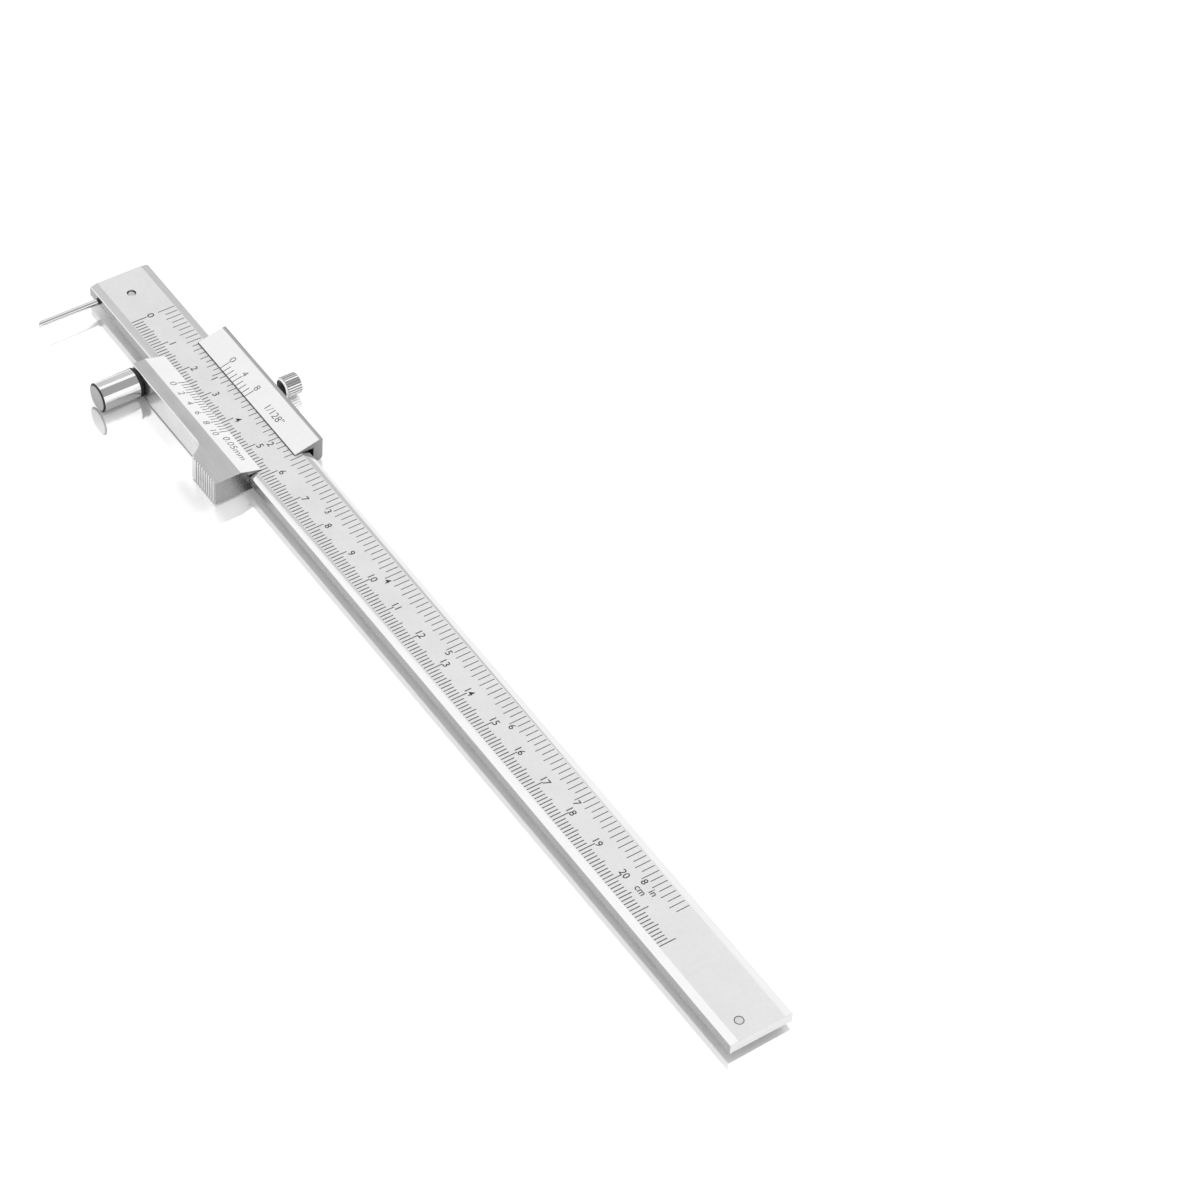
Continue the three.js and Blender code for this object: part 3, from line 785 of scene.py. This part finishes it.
near_lines = grown(
    rule_lines, "vernier_lines_millimetre", Count=21, Pitch=0.95 * MM,
    Start=(vernier_zero, near_tip_y - on_bevel, tip_z + on_bevel * math.tan(near_slope)),
    Turn=(near_slope, 0, math.pi), Width=fine_line_width, Thickness=ink_thickness,
    Short=2.0 * MM, Middle=2.5 * MM, Long=2.5 * MM, Middle_every=4, Long_every=4, Ink=marks_ink,
)
far_lines = grown(
    rule_lines, "vernier_lines_inch", Count=9, Pitch=vernier_inch_step * MM,
    Start=(vernier_zero, far_tip_y + on_bevel, tip_z + on_bevel * math.tan(far_slope)),
    Turn=(far_slope, 0, 0), Width=fine_line_width, Thickness=ink_thickness,
    Short=2.15 * MM, Middle=2.6 * MM, Long=2.6 * MM, Middle_every=4, Long_every=4, Ink=marks_ink,
)


def on_lip(tip_y, slope, x, up_slope):
    """A place x mm from the vernier's zero and up_slope mm up the bevel from its tip."""
    tip = Matrix.Translation((vernier_zero + x * MM, tip_y, tip_z))
    return tip @ Matrix.Rotation(slope, 4, "X") @ Matrix.Translation((0, up_slope * MM, 0))


def on_near_lip(x, up_slope):
    return on_lip(near_tip_y, -near_slope, x, -up_slope)


def on_far_lip(x, up_slope):
    return on_lip(far_tip_y, far_slope, x, up_slope)


lip_words = [(str(i), figure_size, on_near_lip(1.9 * i - 0.13, 3.7)) for i in range(0, 11, 2)]
lip_words.append(("0.05mm", 1.9 * MM, on_near_lip(25.25, 2.1)))
lip_words += [(str(i), figure_size, on_far_lip(vernier_inch_step * i - 0.08, 3.75)) for i in (0, 4, 8)]
lip_words.append(('1/128"', 1.9 * MM, on_far_lip(20.5, 2.7)))
vernier_figures = lettering("vernier_figures", lip_words, marks_ink, -0.01)

for marks in (near_lines, far_lines, vernier_figures):
    keep(marks, "slider", "brushed_slider_steel")

# ---------------------------------------------------------------------------------------------------
# Guide roller, with its bush, washer and retaining screw: the roller is hardened, ground and polished,
# and turned in one with its journal. It follows the edge of the work.

roller_steel = metal(
    "ground and polished roller", (0.97, 0.97, 0.97), 1.0, 0.035, (500, 6000, 500), 0.02, 0.015, 0.02,
)
low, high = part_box("guide_roller")
roller_x, roller_z = (low.x + high.x) / 2, (low.z + high.z) / 2
roller_radius = (high.x - low.x) / 2
roller_length = 10 * MM
journal_radius = 1.4 * MM
groove_floor = 0.9 * MM
bush_low, bush_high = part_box("roller_bush")
roller_axis = Matrix.Translation((roller_x, 0, roller_z)) @ along_y
screw_low, screw_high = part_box("roller_retaining_screw")
groove_y = (screw_low.y + screw_high.y) / 2
roller_back = low.y + roller_length
roller = turned(
    "guide_roller_ground",
    [
        (0, low.y),
        (roller_radius - 0.66 * MM, low.y),
        (roller_radius - 0.54 * MM, low.y + 0.03 * MM),
        (roller_radius - 0.28 * MM, low.y + 0.16 * MM),
        (roller_radius - 0.05 * MM, low.y + 0.38 * MM),
        (roller_radius, low.y + 0.48 * MM),
        (roller_radius, roller_back - 0.1 * MM),
        (roller_radius - 0.1 * MM, roller_back),
        (journal_radius, roller_back),
        (journal_radius, groove_y - 0.55 * MM),
        (groove_floor, groove_y - 0.55 * MM),
        (groove_floor, groove_y + 0.55 * MM),
        (journal_radius, groove_y + 0.55 * MM),
        (journal_radius, high.y - 0.1 * MM),
        (journal_radius - 0.1 * MM, high.y),
        (0, high.y),
    ],
    roller_axis, roller_steel, facets=128,
)
turned_end = metal(
    "turned end of the roller", (0.48, 0.48, 0.48), 0.9, 0.3, (2400, 300, 2400), 0.05, 0.05, 0.15,
)
finish_faces(roller, turned_end, lambda spot, normal: spot.y < low.y + 0.02 * MM)
# Painted shade: the chamfer round the roller's outer end is near black.
finish_faces(roller, painted_shade, lambda spot, normal: low.y + 0.05 * MM < spot.y < low.y + 0.4 * MM)
keep(roller, "guide_roller", "polished_roller_steel", "guide_roller")

bronze = metal("dull rolled bronze", (0.55, 0.38, 0.17), 0.9, 0.4, (300, 2600, 2600), 0.1, 0.08, 0.3)
flange_radius = 2.2 * MM
flange_back = bush_low.y + 0.4 * MM
bush_radius = 2 * MM
bore_radius = 1.45 * MM
bush = turned(
    "roller_bush_bronze",
    [
        (bore_radius, bush_low.y),
        (flange_radius - 0.05 * MM, bush_low.y),
        (flange_radius, bush_low.y + 0.05 * MM),
        (flange_radius, flange_back),
        (bush_radius, flange_back),
        (bush_radius, bush_high.y),
        (bore_radius, bush_high.y),
        (bore_radius, bush_low.y),
    ],
    roller_axis, bronze, facets=64,
)
drill_radius = 0.55 * MM
drill_start = roller_z - 3 * MM
drill = turned(
    "drill", [(0, drill_start), (drill_radius, drill_start), (drill_radius, roller_z), (0, roller_z)],
    Matrix.Translation((roller_x, groove_y, 0)), bronze, facets=24,
)
cross_hole = bush.modifiers.new("cross hole", "BOOLEAN")
cross_hole.operation = "DIFFERENCE"
cross_hole.solver = "EXACT"
cross_hole.object = drill
made_plain(bush)
bpy.data.objects.remove(drill)
tidy_shape(bush)
# Painted shade: the bush's flange, in the gap beside the washer, is near black.
finish_faces(bush, painted_shade, lambda spot, normal: spot.y < flange_back + 0.01 * MM)
keep(bush, "slider", "spring_bronze", "roller_bush")

black_fibre = metal("matt black washer", (0.012, 0.012, 0.013), 0.0, 0.6, (900, 900, 900), 0.3, 0.1, 0.3)
low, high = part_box("thrust_washer")
washer_radius = (high.x - low.x) / 2
washer = turned(
    "thrust_washer_black",
    [
        (bore_radius, low.y),
        (washer_radius - 0.08 * MM, low.y),
        (washer_radius, low.y + 0.08 * MM),
        (washer_radius, high.y - 0.08 * MM),
        (washer_radius - 0.08 * MM, high.y),
        (bore_radius, high.y),
        (bore_radius, low.y),
    ],
    roller_axis, black_fibre, facets=96,
)
keep(washer, "slider", "black_washer", "thrust_washer")

retainer_radius = (screw_high.x - screw_low.x) / 2
retainer_point_radius = 0.5 * MM
retainer_shoulder = roller_z - bush_radius - 0.1 * MM
retaining_screw = turned(
    "roller_retaining_screw_turned",
    [
        (0, screw_low.z),
        (retainer_radius - 0.15 * MM, screw_low.z),
        (retainer_radius, screw_low.z + 0.15 * MM),
        (retainer_radius, retainer_shoulder),
        (retainer_point_radius, retainer_shoulder),
        (retainer_point_radius, screw_high.z - 0.06 * MM),
        (retainer_point_radius - 0.06 * MM, screw_high.z),
        (0, screw_high.z),
    ],
    Matrix.Translation((roller_x, groove_y, 0)), turned_steel,
)
slotted(
    retaining_screw,
    (roller_x - 2 * MM, groove_y - 0.2 * MM, screw_low.z - 1 * MM),
    (roller_x + 2 * MM, groove_y + 0.2 * MM, screw_low.z + 0.5 * MM),
)
keep(retaining_screw, "slider", "screw_steel", "roller_retaining_screw")

# ---------------------------------------------------------------------------------------------------
# Gib and its two screws: a strip of spring bronze between the far wall and the beam takes up the play.
# Two small dog-point screws in the far wall set it.

gib = eased_copy("gib_strip", "gib_bronze", [bronze], lambda face: 0, lambda edge: 0.05 * MM)
keep(gib, "gib", "spring_bronze", "gib_strip")

for node in ("gib_screw_front", "gib_screw_rear"):
    low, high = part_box(node)
    x, z = (low.x + high.x) / 2, (low.z + high.z) / 2
    screw_radius = (high.x - low.x) / 2
    shoulder = low.y + 0.35 * MM
    gib_screw = turned(
        node + "_turned",
        [
            (0, low.y),
            (0.44 * MM, low.y),
            (0.5 * MM, low.y + 0.06 * MM),
            (0.5 * MM, shoulder),
            (screw_radius, shoulder),
            (screw_radius, high.y - 0.15 * MM),
            (screw_radius - 0.15 * MM, high.y),
            (0, high.y),
        ],
        Matrix.Translation((x, 0, z)) @ along_y, turned_steel,
        thread=(shoulder + 0.1 * MM, high.y - 0.15 * MM, 0.4 * MM, 0.1 * MM),
    )
    slotted(
        gib_screw,
        (x - 2 * MM, high.y - 0.5 * MM, z - 0.2 * MM),
        (x + 2 * MM, high.y + 1 * MM, z + 0.2 * MM),
    )
    keep(gib_screw, "slider", "screw_steel", node)

# ---------------------------------------------------------------------------------------------------
# Lock screw: a thumbscrew of nickelled brass with a straight knurl. Its threaded shank goes through
# the far wall and bears on the gib.

knob_nickel = metal(
    "bright nickel of the knob", (0.95, 0.95, 0.95), 1.0, 0.1, (900, 5000, 900), 0.03, 0.04, 0.05,
)
# A darker copy of the nickel: painted shade in the knurl's grooves.
knurl_groove_shade = metal(
    "painted shade in the knurl's grooves", (0.5, 0.5, 0.5), 0.9, 0.25, (900, 5000, 900), 0.05, 0.04, 0.1,
)
low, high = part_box("lock_screw")
lock_x, lock_z = (low.x + high.x) / 2, (low.z + high.z) / 2
knob_radius = 2.7 * MM
knob_inner = high.y - 4.45 * MM
shank_radius = 1.25 * MM
tip_radius = 0.8 * MM
tip_end = low.y + 0.6 * MM
lock_screw = turned(
    "lock_screw_knurled",
    [
        (0, low.y),
        (tip_radius - 0.1 * MM, low.y),
        (tip_radius, low.y + 0.1 * MM),
        (tip_radius, tip_end),
        (shank_radius - 0.15 * MM, tip_end),
        (shank_radius, tip_end + 0.15 * MM),
        (shank_radius, knob_inner),
        (knob_radius - 0.55 * MM, knob_inner),
        (knob_radius - 0.5 * MM, knob_inner + 0.02 * MM),
        (knob_radius - 0.3 * MM, knob_inner + 0.22 * MM),
        (knob_radius - 0.12 * MM, knob_inner + 0.4 * MM),
        (knob_radius, knob_inner + 0.52 * MM),
        (knob_radius, high.y - 0.3 * MM),
        (knob_radius - 0.12 * MM, high.y - 0.18 * MM),
        (knob_radius - 0.3 * MM, high.y),
        (knob_radius - 0.9 * MM, high.y),
        (0, high.y),
    ],
    Matrix.Translation((lock_x, 0, lock_z)) @ Matrix.Rotation(math.radians(-8), 4, "Y") @ along_y,
    knob_nickel, facets=208,
    thread=(tip_end + 0.1 * MM, knob_inner - 0.05 * MM, 0.45 * MM, 0.2 * MM),
    teeth=(26, knob_inner + 0.01 * MM, knob_radius, 0.22 * MM),
)
# Painted shade: the knurl's grooves take the darker copy of the nickel.
finish_faces(
    lock_screw, knurl_groove_shade,
    lambda spot, normal: knob_inner + 0.4 * MM < spot.y < high.y - 0.1 * MM
    and math.hypot(spot.x - lock_x, spot.z - lock_z) < knob_radius - 0.05 * MM,
)
# Painted shade: the tip, the shank and the knob's inner face are near black.
finish_faces(lock_screw, painted_shade, lambda spot, normal: spot.y < knob_inner + 0.005 * MM)
keep(lock_screw, "lock_screw", "knob_nickel", "lock_screw")

# ---------------------------------------------------------------------------------------------------
# Floor: a white glossy board. The gauge rests on it on three points: the inner end of the roller, the
# head of the stop screw and the far bottom edge of the slider, so the board lies a little askew to it.

rest_points = [
    Vector((roller_x, roller_back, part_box("guide_roller")[0].z)),
    Vector((stop_x, stop_y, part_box("beam_stop_screw")[0].z)),
    Vector((slider_high.x, slider_high.y - 1 * MM, slider_low.z)),
]
floor_up = (rest_points[1] - rest_points[0]).cross(rest_points[2] - rest_points[0]).normalized()
if floor_up.z < 0:
    floor_up = -floor_up


def floor_height(x, y):
    """The board's height under a place."""
    start = rest_points[0]
    return start.z - (floor_up.x * (x - start.x) + floor_up.y * (y - start.y)) / floor_up.z


reach = 2.0
corners = [(-reach, -reach), (reach, -reach), (reach, reach), (-reach, reach)]
board = bpy.data.meshes.new("floor")
board.from_pydata([(x, y, floor_height(x, y)) for x, y in corners], [], [(0, 1, 2, 3)])
floor = place_in_scene("floor", board)

floor_finish = bpy.data.materials.new("white glossy board")
floor_finish.use_nodes = True
tree = floor_finish.node_tree
tree.nodes.clear()
spot = add_node(tree, "ShaderNodeTexCoord").outputs["Object"]
across = add_node(tree, "ShaderNodeSeparateXYZ", {0: spot}).outputs
ray = add_node(tree, "ShaderNodeLightPath").outputs

# The board mirrors the gauge close to it, but not before the thumb pad.
past_end = sum_node(tree, "SUBTRACT", sum_node(tree, "ABSOLUTE", across["X"]), beam_high.x)
past_end = sum_node(tree, "MAXIMUM", past_end, 0.0)
away = sum_node(tree, "SQRT", sum_node(
    tree, "ADD", sum_node(tree, "MULTIPLY", past_end, past_end),
    sum_node(tree, "MULTIPLY", across["Y"], across["Y"]),
))
near_share = ramp(tree, away, 0.022, 0.05, 0.65, 0.0, "SMOOTHSTEP")
before_pad = ramp(
    tree, across["Y"], slider_low.y + 1 * MM, slider_low.y - 4 * MM, curve="SMOOTHSTEP",
)
past_roller = ramp(tree, across["X"], roller_x + 8 * MM, roller_x + 16 * MM, curve="SMOOTHSTEP")
dull = sum_node(tree, "MULTIPLY", before_pad, past_roller)
shine_share = sum_node(tree, "MULTIPLY", near_share, sum_node(tree, "SUBTRACT", 1.0, dull))
paper_tone = add_node(tree, "ShaderNodeTexNoise", {"Vector": spot, "Scale": 30.0}).outputs["Fac"]
paper_white = ramp(tree, paper_tone, 0.0, 1.0, 0.935, 0.955)
paper_colour = add_node(
    tree, "ShaderNodeCombineColor", {"Red": paper_white, "Green": paper_white, "Blue": paper_white},
)
paper = add_node(tree, "ShaderNodeBsdfDiffuse", {"Color": paper_colour.outputs[0]})
mirror = add_node(tree, "ShaderNodeBsdfGlossy", {"Color": (1, 1, 1, 1), "Roughness": 0.06})
blend = add_node(
    tree, "ShaderNodeMixShader", {0: shine_share, 1: paper.outputs[0], 2: mirror.outputs[0]},
)

# To the camera it is lifted to white, a little more where it mirrors, and less beside the roller,
# which paints a shadow there.
from_roller = add_node(tree, "ShaderNodeVectorMath", {
    0: spot, 1: (roller_x + 3.5 * MM, roller_back - 5 * MM, 0),
}, operation="DISTANCE").outputs["Value"]
painted_roller_shadow = ramp(tree, from_roller, 0.014, 0.02, 0.5, 0.0, "SMOOTHSTEP")
away_from_roller = sum_node(tree, "SUBTRACT", 1.0, sum_node(tree, "MULTIPLY", painted_roller_shadow, 2.0))
mirror_lift = sum_node(
    tree, "MULTIPLY", away_from_roller, sum_node(tree, "MULTIPLY", shine_share, 0.15),
)
lift = add_node(tree, "ShaderNodeEmission", {"Strength": sum_node(
    tree, "MULTIPLY", ray["Is Camera Ray"], sum_node(tree, "ADD", 0.1, mirror_lift),
)})
whole = add_node(tree, "ShaderNodeAddShader", {0: blend.outputs[0], 1: lift.outputs[0]})

# Polished steel mirrors the board a little darker, and most so beside the roller from the head side:
# painted shade, blended towards black in the steel's reflections of the board.
incoming = add_node(tree, "ShaderNodeNewGeometry").outputs["Incoming"]
came_from = add_node(tree, "ShaderNodeSeparateXYZ", {0: incoming}).outputs
from_head_side = ramp(tree, came_from["X"], 0.1, 0.5, 1.0, 0.0)
from_above = ramp(tree, came_from["Z"], 0.12, 0.3)
shadow = sum_node(tree, "MULTIPLY", sum_node(tree, "MULTIPLY", from_head_side, from_above), painted_roller_shadow)
dimmed = sum_node(tree, "MULTIPLY", ray["Is Glossy Ray"], sum_node(tree, "ADD", shadow, 0.08))
black = add_node(tree, "ShaderNodeBsdfDiffuse", {"Color": (0, 0, 0, 1)})
mirrored = add_node(
    tree, "ShaderNodeMixShader", {0: dimmed, 1: whole.outputs[0], 2: black.outputs[0]},
)
add_node(tree, "ShaderNodeOutputMaterial", {"Surface": mirrored.outputs[0]})
board.materials.append(floor_finish)

# ---------------------------------------------------------------------------------------------------
# Light: a white room, a broad soft lamp above the far side, and two grey cards that are hung to give
# polished steel its dark bands. The floor mirrors them as white, so that they don't grey it.

room = bpy.data.worlds.new("white room")
room.use_nodes = True
bpy.context.scene.world = room
tree = room.node_tree
tree.nodes.clear()
ray = add_node(tree, "ShaderNodeLightPath").outputs
seen = sum_node(tree, "MAXIMUM", ray["Is Camera Ray"], sum_node(
    tree, "MAXIMUM", ray["Is Glossy Ray"], ray["Is Transmission Ray"]))
strength = ramp(tree, seen, 0.0, 1.0, 0.9, 1.0)
sky = add_node(tree, "ShaderNodeBackground", {"Color": (1, 1, 1, 1), "Strength": strength})
add_node(tree, "ShaderNodeOutputWorld", {"Surface": sky.outputs[0]})

lamp = bpy.data.objects.new("soft lamp", bpy.data.lights.new("soft lamp", "AREA"))
lamp.data.shape = "DISK"
lamp.data.size = 0.7
lamp.data.energy = 5.5
lamp.location = (-0.15, 0.9, 1.25)
lamp.rotation_mode = "QUATERNION"
lamp.rotation_quaternion = (Vector((0, 0, 0)) - lamp.location).to_track_quat("-Z", "Y")
lamp.visible_glossy = False
bpy.context.scene.collection.objects.link(lamp)


def grey_card(name, corners, grey):
    """A flat card that is seen in mirror reflections only: grey in the steel's first reflection, and
    white where the ray starts on the floor or has been mirrored before."""
    mesh = bpy.data.meshes.new(name)
    mesh.from_pydata(corners, [], [tuple(range(len(corners)))])
    card = place_in_scene(name, mesh)
    glow = bpy.data.materials.new(name)
    glow.use_nodes = True
    tree = glow.node_tree
    tree.nodes.clear()

    def vector_sum(operation, first, second):
        return add_node(tree, "ShaderNodeVectorMath", {0: first, 1: second}, operation=operation).outputs

    ray = add_node(tree, "ShaderNodeLightPath").outputs
    hit = add_node(tree, "ShaderNodeNewGeometry").outputs
    back = add_node(
        tree, "ShaderNodeVectorMath", {0: hit["Incoming"], 3: ray["Ray Length"]}, operation="SCALE",
    ).outputs[0]
    start = vector_sum("ADD", hit["Position"], back)[0]
    over_floor = vector_sum("SUBTRACT", start, rest_points[0])[0]
    height = vector_sum("DOT_PRODUCT", over_floor, floor_up)["Value"]
    from_floor = sum_node(tree, "LESS_THAN", height, 0.05 * MM)
    deeper = sum_node(tree, "GREATER_THAN", ray["Ray Depth"], 1.5)
    power = ramp(tree, sum_node(tree, "MAXIMUM", from_floor, deeper), 0.0, 1.0, grey, 1.0)
    light = add_node(tree, "ShaderNodeEmission", {"Color": (1, 1, 1, 1), "Strength": power})
    add_node(tree, "ShaderNodeOutputMaterial", {"Surface": light.outputs[0]})
    mesh.materials.append(glow)
    card.visible_camera = False
    card.visible_diffuse = False
    card.visible_transmission = False
    card.visible_volume_scatter = False
    card.visible_shadow = False


# Corners as (sideways, up) shares of the distance to the head card, and (along, sideways) of the height
# of the overhead card.
distance = 3.0
head_outline = [
    (-0.05, 0.15), (-0.05, 1.235), (0.08, 1.25), (0.45, 1.5),
    (0.739, 1.782), (1.1, 1.95), (1.02, 0.9), (1.0, 0.15),
]
grey_card(
    "head card", [(roller_x - distance, y * distance, z * distance) for y, z in head_outline], 0.6,
)
overhead_outline = [(-0.117, -2), (1.39, -2), (1.39, 2), (-0.117, 2)]
grey_card(
    "overhead card", [(roller_x + x * distance, y * distance, distance) for x, y in overhead_outline], 0.36,
)

bpy.context.scene.view_settings.view_transform = "Standard"
